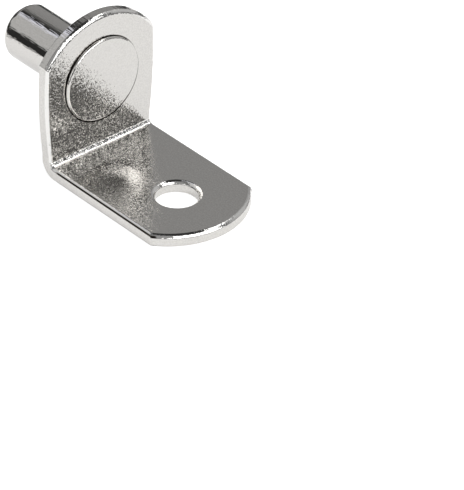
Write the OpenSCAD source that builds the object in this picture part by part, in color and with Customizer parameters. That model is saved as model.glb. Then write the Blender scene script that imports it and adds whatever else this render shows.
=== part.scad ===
// Shelf support pin: a folded sheet bracket with a headed pin riveted through its upright.
// The origin is where the pin's axis meets the face that seats on the cabinet's side.
// X runs forward along the leg, Y across the width and Z up; the pin points along -X.

/* [Pin] */
// Diameter of the pin that goes into the cabinet's hole
pin_d = 5; // [4:0.1:5.2]
// Length of the pin behind the face that seats on the cabinet
pin_length = 8.85; // [6:0.05:14]
// Size of the rounding that leads the pin into its hole
nose_round = 0.9; // [0.3:0.05:1.2]
// Diameter of the collar at the root of the pin
collar_d = 5.4; // [5.3:0.05:6]
// Length of the collar
collar_length = 1.2; // [0.8:0.1:3]
// Diameter of the flange that seats on the back of the upright
flange_d = 6.9; // [6.2:0.1:9]
// Thickness of the flange
flange_t = 0.25; // [0.15:0.05:0.6]
// Diameter of the rivet head on the front of the upright
head_d = 7.6; // [6:0.1:9]
// Height of the rivet head above the front of the upright
head_h = 0.32; // [0.25:0.01:0.8]
// Size of the rounding at the rim of the rivet head
head_round = 0.17; // [0.05:0.01:0.22]
// Size of the rounding at the rims of the flange and the collar
rim_round = 0.08; // [0.03:0.01:0.1]
// Diameter of the rivet's neck inside the sheet
neck_d = 4; // [3:0.1:5]

/* [Bracket] */
// Thickness of the sheet
sheet_t = 1.1; // [0.9:0.05:1.6]
// Width of the sheet at the fold and along the leg
width = 10.9; // [10:0.1:12]
// How far each side of the upright swells out where the rivet was struck
swell = 0.35; // [0.1:0.05:0.5]
// Height above the fold at which the sides start to swell
swell_start = 0.5; // [0.2:0.1:1.5]
// Height of the upright from the underside of the leg to the top of its arc
upright_h = 13.55; // [12.6:0.05:20]
// Length of the leg from the back of the upright to the end of its arc
leg_length = 16.35; // [15.5:0.05:26]
// Radius of the arc at both ends of the sheet
end_r = 6.9; // [6.7:0.1:8]
// Radius inside the fold
fold_r = 0.4; // [0.3:0.05:1.2]
// Height of the pin's axis above the underside of the leg
pin_height = 7.58; // [7:0.02:8.5]
// Diameter of the screw hole in the leg
hole_d = 3.6; // [3:0.1:5]
// Distance of the screw hole from the back of the upright
hole_x = 10.65; // [8:0.05:11]
// Size of the rolled edge that the die leaves at the arcs on the inner faces
end_roll = 0.32; // [0.1:0.02:0.4]
// Size of the rolled edge that the slitter leaves along the sides of the inner faces
side_roll = 0.24; // [0.1:0.02:0.3]
// Size of the rolled edge at the upper rim of the screw hole
hole_roll = 0.3; // [0.1:0.05:0.4]
// Size of the broken edge on the outer faces
burr_break = 0.12; // [0.04:0.02:0.2]

/* [Fit] */
// Gap around the rivet's neck in the sheet
neck_gap = 0.03; // [0.01:0.01:0.1]

/* [Hidden] */
$fn = 144;
// How far a cut runs past the surface that it opens
overrun = 0.2;
// Place of a rounded edge's centre, as a share of the edge's size
round_centre_share = 1.3;
// Radius of a rounded edge, as a share of the edge's size
round_radius_share = sqrt(pow(round_centre_share, 2) + pow(round_centre_share - 1, 2));
pin_r = pin_d / 2;
collar_r = collar_d / 2;
flange_r = flange_d / 2;
head_r = head_d / 2;
neck_r = neck_d / 2;
hole_r = hole_d / 2;
fold_outer_r = fold_r + sheet_t;
// Lengths of the two flat limbs beyond the fold
upright_length = upright_h - fold_outer_r;
leg_flat_length = leg_length - fold_outer_r;
// Each side of the upright is straight above the fold and then one arc, widest at the pin
pin_rise = pin_height - fold_outer_r;
swell_rise = pin_rise - swell_start;
swell_r = (pow(swell_rise, 2) + pow(swell, 2)) / (2 * swell);
swell_angle = asin(swell_rise / swell_r);
swell_top_angle = asin((upright_length - pin_rise) / swell_r);
swell_centre_y = width / 2 + swell - swell_r;
trim_w = width + 2 * swell + 2 * overrun;

// What a rounding takes off a corner at the origin, with solid below and to the left
module corner_waste(size) {
    centre = size * round_centre_share;
    translate([-centre, -centre]) {
        difference() {
            square(centre + overrun);
            circle(size * round_radius_share);
        }
    }
}

// Lays a flat outline's x across the width, its y up the upright and its height forward
module stand_up() {
    rotate([90, 0, 90]) children();
}

// The sheet cut across: its outer face at x = 0, its inner face at x = sheet_t
module sheet_section() {
    difference() {
        translate([0, -width / 2]) square([sheet_t, width]);
        for (side = [0, 1]) {
            mirror([0, side]) {
                translate([sheet_t, width / 2]) corner_waste(side_roll);
                translate([0, width / 2]) mirror([1, 0]) corner_waste(burr_break);
            }
        }
    }
}

// The arc that trims the end of a limb, across the width and along the length
module end_outline(length) {
    translate([0, length - end_r]) circle(end_r);
    translate([-trim_w / 2, -overrun]) square([trim_w, length - end_r + overrun]);
}

// What the rounding takes off the arc of an end
module end_waste(length, size) {
    translate([0, length - end_r, 0])
        rotate_extrude(angle = 180)
            translate([end_r, 0]) corner_waste(size);
}

// The upright's outline with its sides swollen at the pin
module upright_outline() {
    intersection() {
        translate([-trim_w / 2, swell_start / 2]) square([trim_w, upright_length]);
        translate([swell_centre_y, pin_rise]) circle(swell_r);
        translate([-swell_centre_y, pin_rise]) circle(swell_r);
        end_outline(upright_length);
    }
}

// What the roundings take off the arc and the sides of the upright on one face
module upright_waste(end_size, side_size) {
    end_waste(upright_length, end_size);
    for (side = [0, 1]) {
        mirror([side, 0, 0])
            translate([swell_centre_y, pin_rise, 0])
                rotate([0, 0, -2 * swell_angle])
                    rotate_extrude(angle = 2 * swell_angle + swell_top_angle)
                        translate([swell_r, 0]) corner_waste(side_size);
    }
}

// The flat of the upright above the fold, with its outer face at x = 0
module upright() {
    linear_extrude(pin_rise) sheet_section();
    difference() {
        stand_up() linear_extrude(sheet_t) upright_outline();
        translate([sheet_t, 0, 0]) stand_up() upright_waste(end_roll, side_roll);
        mirror([1, 0, 0]) stand_up() upright_waste(burr_break, burr_break);
    }
}

// The flat of the leg, standing up from the fold, with its outer face at x = 0
module leg() {
    difference() {
        intersection() {
            linear_extrude(leg_flat_length) sheet_section();
            translate([-overrun, 0, 0])
                stand_up() linear_extrude(sheet_t + 2 * overrun) end_outline(leg_flat_length);
        }
        translate([sheet_t, 0, 0]) stand_up() end_waste(leg_flat_length, end_roll);
        mirror([1, 0, 0]) stand_up() end_waste(leg_flat_length, burr_break);
    }
}

// The fold between the limbs, a quarter turn about the Y axis
module fold() {
    rotate([90, 0, 0])
        rotate([0, 0, 180])
            rotate_extrude(angle = 90)
                translate([fold_outer_r, 0]) mirror([1, 0]) sheet_section();
}

// The screw hole through the leg, with the die's roll at its upper rim
module screw_hole() {
    translate([0, 0, -overrun]) cylinder(h = sheet_t + 2 * overrun, r = hole_r);
    translate([0, 0, sheet_t])
        rotate_extrude()
            translate([hole_r, 0]) mirror([1, 0]) corner_waste(hole_roll);
    mirror([0, 0, 1])
        rotate_extrude()
            translate([hole_r, 0]) mirror([1, 0]) corner_waste(burr_break);
}

// The hole for the rivet's neck, along X through the upright
module neck_hole() {
    translate([-overrun, 0, 0])
        rotate([0, 90, 0])
            cylinder(h = sheet_t + 2 * overrun, r = neck_r + neck_gap);
}

// The folded sheet: upright, fold and leg in one piece
module bracket() {
    color([0.72, 0.71, 0.69])
        translate([flange_t, 0, -pin_height])
            difference() {
                union() {
                    translate([0, 0, fold_outer_r]) upright();
                    translate([fold_outer_r, 0, fold_outer_r]) fold();
                    translate([fold_outer_r, 0, 0]) rotate(a = 180, v = [1, 0, 1]) leg();
                }
                translate([hole_x, 0, 0]) screw_hole();
                translate([0, 0, pin_height]) neck_hole();
            }
}

// A plain disc of the pin's outline, from its axis out, with its far rim rounded
module disc_outline(radius, thickness, size) {
    difference() {
        square([radius, thickness]);
        translate([radius, thickness]) corner_waste(size);
    }
}

// Half of the pin's outline: radius along x, distance behind the cabinet's face along y
module pin_outline() {
    translate([0, -flange_t - sheet_t]) mirror([0, 1]) disc_outline(head_r, head_h, head_round);
    translate([0, -flange_t - sheet_t]) square([neck_r, sheet_t]);
    translate([0, -flange_t]) disc_outline(flange_r, flange_t, rim_round);
    disc_outline(collar_r, collar_length, rim_round);
    disc_outline(pin_r, pin_length, nose_round);
}

// The riveted pin, turned about the X axis
module pin() {
    color([0.78, 0.77, 0.75])
        rotate([0, -90, 0])
            rotate_extrude() pin_outline();
}

bracket();
pin();
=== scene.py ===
import math

import bpy
from mathutils import Matrix, Vector


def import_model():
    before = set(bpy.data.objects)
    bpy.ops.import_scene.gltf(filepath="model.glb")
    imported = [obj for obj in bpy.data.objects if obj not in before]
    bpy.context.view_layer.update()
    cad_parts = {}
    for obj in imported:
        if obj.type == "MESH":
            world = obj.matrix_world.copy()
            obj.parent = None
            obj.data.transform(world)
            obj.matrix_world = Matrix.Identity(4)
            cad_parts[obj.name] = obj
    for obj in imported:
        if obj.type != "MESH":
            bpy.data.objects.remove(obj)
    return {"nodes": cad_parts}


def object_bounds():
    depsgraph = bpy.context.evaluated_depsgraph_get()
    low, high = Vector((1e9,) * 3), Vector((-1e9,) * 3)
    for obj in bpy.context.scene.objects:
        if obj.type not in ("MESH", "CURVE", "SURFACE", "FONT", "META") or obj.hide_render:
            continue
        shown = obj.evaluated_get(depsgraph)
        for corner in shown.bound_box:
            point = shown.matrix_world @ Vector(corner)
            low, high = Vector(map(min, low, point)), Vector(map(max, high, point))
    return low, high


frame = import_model()
cad_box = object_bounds()

# Lengths are in metres
MM = 0.001

# The image that the camera frames, in pixels, and the camera's place in the object's own frame
IMAGE_W = 464
IMAGE_H = 490
FOCAL_PX = 3500
CAMERA_AT = Vector((186.22, -156.54, 153.46)) * MM
CAMERA_LOOK = Vector((-0.5999, 0.5571, -0.5743))
CAMERA_ROLL = math.radians(1.72)
SENSOR = 36.0

# Height where the upright leaves the fold
FOLD_TOP = -6.08 * MM
# The face that the rivet head sits on, and the head's radius
HEAD_BACK = 1.35 * MM
HEAD_R = 3.8 * MM

# Nickel plate: the darker and lighter spots of the sheet and of the pin, and a painted highlight that lightens
# the rolled edges
SHEET_DARK, SHEET_LIGHT = (0.64, 0.625, 0.60, 1.0), (0.73, 0.715, 0.69, 1.0)
PIN_DARK, PIN_LIGHT = (0.65, 0.635, 0.61, 1.0), (0.72, 0.705, 0.68, 1.0)
ROLLED_EDGE_HIGHLIGHT = (0.86, 0.85, 0.83, 1.0)
# Painted shade: the dark crevice round the rivet head and the dark lines along the slit edges
PAINTED_SHADE = (0.05, 0.04, 0.035, 1.0)

# How many spots, grains, waves, shear lines and drawn lines a metre takes
SPOTS = 8000.0
GRAINS = 13000.0
WAVES = 160.0
SHEAR_LINES = 5000.0
DRAWN_LINES = 9000.0
# How far the grains lean, and how high the waves, shear lines and drawn lines stand
GRAIN_LEAN = 0.12
WAVE_HEIGHT = 0.012 * MM
SHEAR_HEIGHT = 0.03 * MM
DRAWN_HEIGHT = 0.012 * MM

# The shallow dent in the leg's top: its middle, its depth, and its reach along, to the near and to the far side
DENT_X, DENT_Y = 6.7 * MM, -1.8 * MM
DENT_DEPTH = 0.17 * MM
DENT_ALONG, DENT_NEAR, DENT_FAR = 1.1 * MM, 1.3 * MM, 0.7 * MM

# The upright's foot leans by this slope up to this height, and the blow on the rivet dished its sides
FOOT_SLOPE = 0.018
FOOT_TOP = -3 * MM
NEAR_DISH, FAR_DISH = 3.0, 2.8
FAR_DISH_END = 4.3 * MM
# The struck head leans and is dished too
HEAD_SLOPE = 0.01
HEAD_DISH = 4.0

# A white table, bright to the camera and to the metal alike: short on the pin's side, long on the leg's
FLOOR_Z = cad_box[0][2] - 0.02 * MM
FLOOR_X = (-41 * MM, 160 * MM)
FLOOR_Y = (-45 * MM, 160 * MM)
FLOOR_PAINT = (0.9, 0.9, 0.9, 1.0)
SEEN_GLOW = 0.62
MIRRORED_GLOW = 0.235

# How bright the studio's parts are to the metal, where 1 is white
ROOM, FILL, FRONT, CORNER = 0.03, 0.15, 0.12, 0.08
PANEL, PANEL_EDGE, REFLECTOR = 0.55, 0.45, 0.8
PAPER_LOW, PAPER_HIGH, WALL = 0.04, 0.29, 0.3
SOFTBOX, CEILING = 2.2, 2.0
WHITE = (1.0, 1.0, 1.0, 1.0)
PANEL_TINT = (0.86, 0.88, 1.0, 1.0)


class Value:
    """A shader socket that takes part in plain Python sums."""

    def __init__(self, tree, socket):
        self.tree = tree
        self.socket = socket

    def node(self, kind, settings=None, out=0, **inputs):
        return make_node(self.tree, kind, settings, out, **inputs)

    def math(self, operation, *others):
        return math_node(self.tree, operation, self, *others)

    def __add__(self, other):
        return self.math("ADD", other)

    def __radd__(self, other):
        return self.math("ADD", other)

    def __sub__(self, other):
        return self.math("SUBTRACT", other)

    def __rsub__(self, other):
        return math_node(self.tree, "SUBTRACT", other, self)

    def __mul__(self, other):
        return self.math("MULTIPLY", other)

    def __rmul__(self, other):
        return self.math("MULTIPLY", other)

    def __truediv__(self, other):
        return self.math("DIVIDE", other)

    def __pow__(self, other):
        return self.math("POWER", other)

    def __abs__(self):
        return self.math("ABSOLUTE")

    def least(self, other):
        return self.math("MINIMUM", other)

    def most(self, other):
        return self.math("MAXIMUM", other)

    def step(self, low, high):
        """0 below low, 1 above high, smooth between them."""
        return self.node(
            "ShaderNodeMapRange", {"interpolation_type": "SMOOTHSTEP", "clamp": True},
            Value=self, **{"From Min": low, "From Max": high})

    def to(self, low, high):
        """The value 0 to 1 spread from low to high."""
        return self.node("ShaderNodeMapRange", {"clamp": True}, Value=self, **{"To Min": low, "To Max": high})

    def mix(self, first, second):
        """The colour first where this is 0, second where it is 1."""
        return self.node(
            "ShaderNodeMix", {"data_type": "RGBA"}, out=2,
            **{"Factor": self, "#6": first, "#7": second})

    def part(self, name):
        """One of the parts X, Y and Z of a vector."""
        return self.node("ShaderNodeSeparateXYZ", out=name, Vector=self)


def plug(tree, value, place):
    if isinstance(value, Value):
        tree.links.new(value.socket, place)
    else:
        place.default_value = value


def make_node(tree, kind, settings=None, out=0, **inputs):
    """Adds any node: its settings first, then the values or links of its sockets. #6 is the socket at place 6."""
    node = tree.nodes.new(kind)
    for name, value in (settings or {}).items():
        setattr(node, name, value)
    for name, value in inputs.items():
        place = node.inputs[int(name[1:])] if name.startswith("#") else node.inputs[name]
        plug(tree, value, place)
    return Value(tree, node.outputs[out])


def math_node(tree, operation, *values):
    inputs = {f"#{place}": value for place, value in enumerate(values)}
    return make_node(tree, "ShaderNodeMath", {"operation": operation}, **inputs)


def new_material(name):
    material = bpy.data.materials.new(name)
    material.use_nodes = True
    tree = material.node_tree
    tree.nodes.clear()
    return material, tree


def finish_material(tree, shader):
    out = tree.nodes.new("ShaderNodeOutputMaterial")
    tree.links.new(shader.socket, out.inputs["Surface"])


def plate(tree, tone, roughness, finish):
    """Bare metal of one tone and gloss, with the finish of its surface."""
    shader = make_node(
        tree, "ShaderNodeBsdfPrincipled",
        **{"Base Color": tone, "Metallic": 1.0, "Roughness": roughness, "Normal": finish})
    finish_material(tree, shader)


def object_place(tree):
    return make_node(tree, "ShaderNodeTexCoord", out="Object")


def noise(tree, place, scale, detail=1.0):
    return make_node(
        tree, "ShaderNodeTexNoise", {"noise_dimensions": "3D"}, Vector=place, Scale=scale, Detail=detail)


def stretched(place, amounts):
    return place.node("ShaderNodeVectorMath", {"operation": "MULTIPLY"}, **{"#0": place, "#1": amounts})


def grains(tree, place, lean):
    """The surface's normal with every small grain leaning its own way."""
    facing = make_node(tree, "ShaderNodeNewGeometry", out="Normal")
    own = make_node(tree, "ShaderNodeTexVoronoi", out="Color", Vector=place, Scale=GRAINS)
    own = own.node("ShaderNodeVectorMath", {"operation": "SUBTRACT"}, **{"#0": own, "#1": (0.5, 0.5, 0.5)})
    own = own.node("ShaderNodeVectorMath", {"operation": "SCALE"}, **{"#0": own, "Scale": lean})
    own = own.node("ShaderNodeVectorMath", {"operation": "ADD"}, **{"#0": own, "#1": facing})
    return own.node("ShaderNodeVectorMath", {"operation": "NORMALIZE"}, **{"#0": own})


def bumped(height, distance, under):
    """The normal that a height gives, on top of another one."""
    return height.node("ShaderNodeBump", Strength=1.0, Distance=distance, Height=height, Normal=under)


def dent(across, deep):
    """1 in the middle of the oblong dent in the leg's top, fading out along it and to its near and far sides."""
    off_x, off_y = across - DENT_X, deep - DENT_Y
    along = (off_x * 0.73 - off_y * 0.68) / DENT_ALONG
    over = off_x * 0.68 + off_y * 0.73
    over = over.most(0.0) / DENT_FAR + over.least(0.0) / DENT_NEAR
    return ((along * along + over * over) * -0.5).math("EXPONENT")


def rivet_reach(across, up):
    """How far a place is from the pin's axis."""
    return (across * across + up * up) ** 0.5


# Nickel plate over the stamped sheet: satin grain on the faces, shear lines on the cut edges
def plated_sheet():
    material, tree = new_material("plated_sheet_finish")
    place = object_place(tree)
    x, y, z = (place.part(name) for name in "XYZ")
    facing = make_node(tree, "ShaderNodeTexCoord", out="Normal")
    above_fold = z.step(FOLD_TOP - 0.2 * MM, FOLD_TOP)
    below_fold = 1.0 - above_fold

    # 1 on the faces of the sheet, 0 on its cut edges, and between on the rolled edges
    flat = above_fold * abs(facing.part("X")) + below_fold * abs(facing.part("Z"))
    cut = 1.0 - flat.step(0.3, 0.6)
    rolled = flat.step(0.25, 0.45) * (1.0 - flat.step(0.92, 0.98))

    waves = noise(tree, place, WAVES, 0.0)
    shear = (above_fold * noise(tree, stretched(place, (0.1, 1.0, 1.0)), SHEAR_LINES)
             + below_fold * noise(tree, stretched(place, (1.0, 1.0, 0.1)), SHEAR_LINES))
    near, far = y.least(0.0), y.most(0.0).least(FAR_DISH_END)
    dish = (near * near * NEAR_DISH + far * far * FAR_DISH) * z.step(FOLD_TOP, FOLD_TOP + 2.2 * MM)
    finish = grains(tree, place, (1.0 - cut) * GRAIN_LEAN)
    finish = bumped(shear * cut, SHEAR_HEIGHT, finish)
    finish = bumped(waves, WAVE_HEIGHT, finish)
    finish = bumped(dent(x, y) * below_fold, -DENT_DEPTH, finish)
    finish = bumped(z.most(FOLD_TOP).least(FOOT_TOP), FOOT_SLOPE, finish)
    finish = bumped(dish, 1.0, finish)

    # Painted shade: dark lines along the slit edges of the leg, and a dark crevice round the rivet head, wider at
    # its lower left
    slit_shade = (x.step(1.9 * MM, 2.4 * MM) * abs(y).step(5.05 * MM, 5.2 * MM)
            * flat.step(0.1, 0.2) * (1.0 - flat.step(0.6, 0.75)))
    ring = rivet_reach(y, z).step(HEAD_R + 0.03 * MM, HEAD_R + 0.1 * MM)
    wide_ring = rivet_reach(y - 0.18 * MM, z + 0.3 * MM).step(HEAD_R - 0.04 * MM, HEAD_R + 0.06 * MM)
    crevice_shade = above_fold * facing.part("X").step(0.9, 0.99) * (1.0 - ring * wide_ring)
    tone = noise(tree, place, SPOTS).step(0.25, 0.75).mix(SHEET_DARK, SHEET_LIGHT)
    # Painted highlight: the rolled edges get a lighter colour
    tone = rolled.mix(tone, ROLLED_EDGE_HIGHLIGHT)
    tone = slit_shade.mix(tone, PAINTED_SHADE)
    tone = crevice_shade.mix(tone, PAINTED_SHADE)
    plate(tree, tone, waves.to(0.07, 0.12), finish)
    return material


# Bright nickel plate over the turned pin: drawn lines along the shank, satin grain on the struck head
def plated_pin():
    material, tree = new_material("plated_pin_finish")
    place = object_place(tree)
    x, y, z = (place.part(name) for name in "XYZ")
    head = x.step(HEAD_BACK, HEAD_BACK + 0.05 * MM)
    reach = rivet_reach(y, z)
    drawn = noise(tree, stretched(place, (0.12, 1.0, 1.0)), DRAWN_LINES)
    finish = grains(tree, place, head * GRAIN_LEAN)
    finish = bumped(drawn * (1.0 - head), DRAWN_HEIGHT, finish)
    finish = bumped((z * HEAD_SLOPE + reach * reach * HEAD_DISH) * head, 1.0, finish)
    # Painted shade: a dark crevice where the head's side meets the sheet
    crevice_shade = ((1.0 - x.step(HEAD_BACK + 0.08 * MM, HEAD_BACK + 0.14 * MM))
               * reach.step(HEAD_R - 0.1 * MM, HEAD_R - 0.05 * MM))
    tone = noise(tree, place, SPOTS).step(0.25, 0.75).mix(PIN_DARK, PIN_LIGHT)
    tone = crevice_shade.mix(tone, PAINTED_SHADE)
    plate(tree, tone, head.to(0.06, 0.09), finish)
    return material


def dress(node, material):
    piece = frame["nodes"][node]
    piece.data.materials.clear()
    piece.data.materials.append(material)


# The table is clear from below, so that the object's underside can be seen
def floor():
    material, tree = new_material("floor_paint")
    seen = make_node(tree, "ShaderNodeLightPath", out="Is Camera Ray")
    mirrored = make_node(tree, "ShaderNodeLightPath", out="Is Glossy Ray")
    paint = make_node(tree, "ShaderNodeBsdfDiffuse", Color=FLOOR_PAINT)
    glow = make_node(
        tree, "ShaderNodeEmission", Color=WHITE, Strength=seen * SEEN_GLOW + mirrored * MIRRORED_GLOW)
    both = make_node(tree, "ShaderNodeAddShader", **{"#0": paint, "#1": glow})
    under = make_node(tree, "ShaderNodeNewGeometry", out="Backfacing")
    clear = make_node(tree, "ShaderNodeBsdfTransparent")
    finish_material(tree, make_node(tree, "ShaderNodeMixShader", **{"#0": under, "#1": both, "#2": clear}))
    mesh = bpy.data.meshes.new("floor")
    (left, right), (near, far) = FLOOR_X, FLOOR_Y
    mesh.from_pydata(
        [(left, near, FLOOR_Z), (right, near, FLOOR_Z), (right, far, FLOOR_Z), (left, far, FLOOR_Z)], [],
        [(0, 1, 2, 3)])
    mesh.materials.append(material)
    plane = bpy.data.objects.new("floor", mesh)
    bpy.context.collection.objects.link(plane)


# The studio round the table: white to the camera, and dark with a few soft panels to the metal
def world():
    scene_world = bpy.data.worlds.new("studio")
    bpy.context.scene.world = scene_world
    scene_world.use_nodes = True
    tree = scene_world.node_tree
    tree.nodes.clear()
    way = make_node(tree, "ShaderNodeTexCoord", out="Generated")

    def along(axis):
        """How near a direction is to an axis, 1 where they are the same."""
        return make_node(
            tree, "ShaderNodeVectorMath", {"operation": "DOT_PRODUCT"}, out="Value",
            **{"#0": way, "#1": Vector(axis).normalized()})

    def beyond(turn):
        """How far past a plane through the X axis, turned up from +Y, a direction lies."""
        turn = math.radians(turn)
        return along((0, -math.sin(turn), math.cos(turn)))

    def sideways(turn):
        """How far past an upright plane, turned from +X toward +Y, a direction lies."""
        turn = math.radians(turn)
        return along((-math.sin(turn), math.cos(turn), 0))

    across, deep, high = (way.part(name) for name in "XYZ")
    over_table = high.step(0.02, 0.12)
    clear_of_table = high.step(0.05, 0.12)

    # A panel on the pin's side, brighter along its upper edge
    panel_start = (1.0 - across.step(-0.35, -0.15)) * beyond(88).step(0.0, 0.04)
    panel = panel_start * (1.0 - beyond(158).step(-0.03, 0.05))
    panel_edge = panel_start * (1.0 - beyond(100).step(-0.08, 0.03))

    # Paper behind the pin, which the leg mirrors, and the wall beside it
    paper = (along((-0.608, 0.709, 0.355)).step(0.72, 0.82)
             * (1.0 - beyond(70).step(-0.2, 0.1)).to(PAPER_LOW, PAPER_HIGH) * over_table)
    wall = deep.step(0.6, 0.72) * over_table * WALL

    # The softbox in front, with a crisp right edge, a reflector at the near side and a panel overhead
    softbox = (sideways(-30).step(-0.03, 0.06) * (1.0 - sideways(34.5).step(-0.02, 0.02))
               * across.step(0.2, 0.35) * high.step(0.17, 0.22) * (1.0 - high.step(0.74, 0.8)))
    reflector = along((0.203, -0.957, 0.208)).step(0.93, 0.97)
    over_x, over_y = across / high, deep / high
    ceiling = (over_x.step(-0.1, 0.0) * (1.0 - over_x.step(0.65, 0.8)) * over_y.step(0.4, 0.5)
               * (1.0 - over_y.step(0.72, 0.82)) * high.step(0.3, 0.4))

    # Faint light from the room in front, but for two dark screens
    screens = along((0.684, 0.595, 0.423)).step(0.9, 0.96).most(along((0.2, 0.2, 0.96)).step(0.85, 0.93))
    fill = across.step(-0.25, -0.1) * clear_of_table * (1.0 - screens)
    front = along((0.599, -0.559, 0.574)).step(0.8, 0.95) * clear_of_table
    corner = along((0.6, 0.56, 0.57)).step(0.85, 0.97)

    level = (ROOM + fill * FILL + front * FRONT + paper.most(wall) + panel * PANEL + panel_edge * PANEL_EDGE
             + softbox * SOFTBOX + ceiling * CEILING + corner * CORNER + reflector * REFLECTOR)
    seen = make_node(tree, "ShaderNodeLightPath", out="Is Camera Ray")
    level = seen.node("ShaderNodeMix", {"data_type": "FLOAT"}, Factor=seen, **{"#2": level, "#3": 1.0})
    tint = (panel_edge * (1.0 - seen)).mix(WHITE, PANEL_TINT)
    light = make_node(tree, "ShaderNodeBackground", Color=tint, Strength=level)
    out = tree.nodes.new("ShaderNodeOutputWorld")
    tree.links.new(light.socket, out.inputs["Surface"])


def lamp(name, place, aim, size, power):
    data = bpy.data.lights.new(name, "AREA")
    data.shape = "SQUARE"
    data.size = size
    data.energy = power
    lamp_object = bpy.data.objects.new(name, data)
    bpy.context.collection.objects.link(lamp_object)
    lamp_object.location = place
    lamp_object.rotation_euler = (Vector(aim) - Vector(place)).to_track_quat("-Z", "Y").to_euler()
    lamp_object.visible_glossy = False


def camera():
    data = bpy.data.cameras.new("camera")
    data.sensor_width = SENSOR
    data.lens = FOCAL_PX / max(IMAGE_W, IMAGE_H) * SENSOR
    data.clip_start = 1 * MM
    camera_object = bpy.data.objects.new("camera", data)
    bpy.context.collection.objects.link(camera_object)
    back = -CAMERA_LOOK.normalized()
    right = Vector((0, 0, 1)).cross(back).normalized()
    up = back.cross(right)
    turn = Matrix.Rotation(CAMERA_ROLL, 3, back)
    camera_object.matrix_world = Matrix.Translation(CAMERA_AT) @ Matrix(
        (turn @ right, turn @ up, back)).transposed().to_4x4()
    bpy.context.scene.camera = camera_object


dress("bracket", plated_sheet())
dress("pin", plated_pin())
floor()
world()
lamp("overhead", (0.0, 0.0, 0.4), (0, 0, 0), 0.4, 0.75)
camera()
bpy.context.scene.view_settings.view_transform = "Standard"
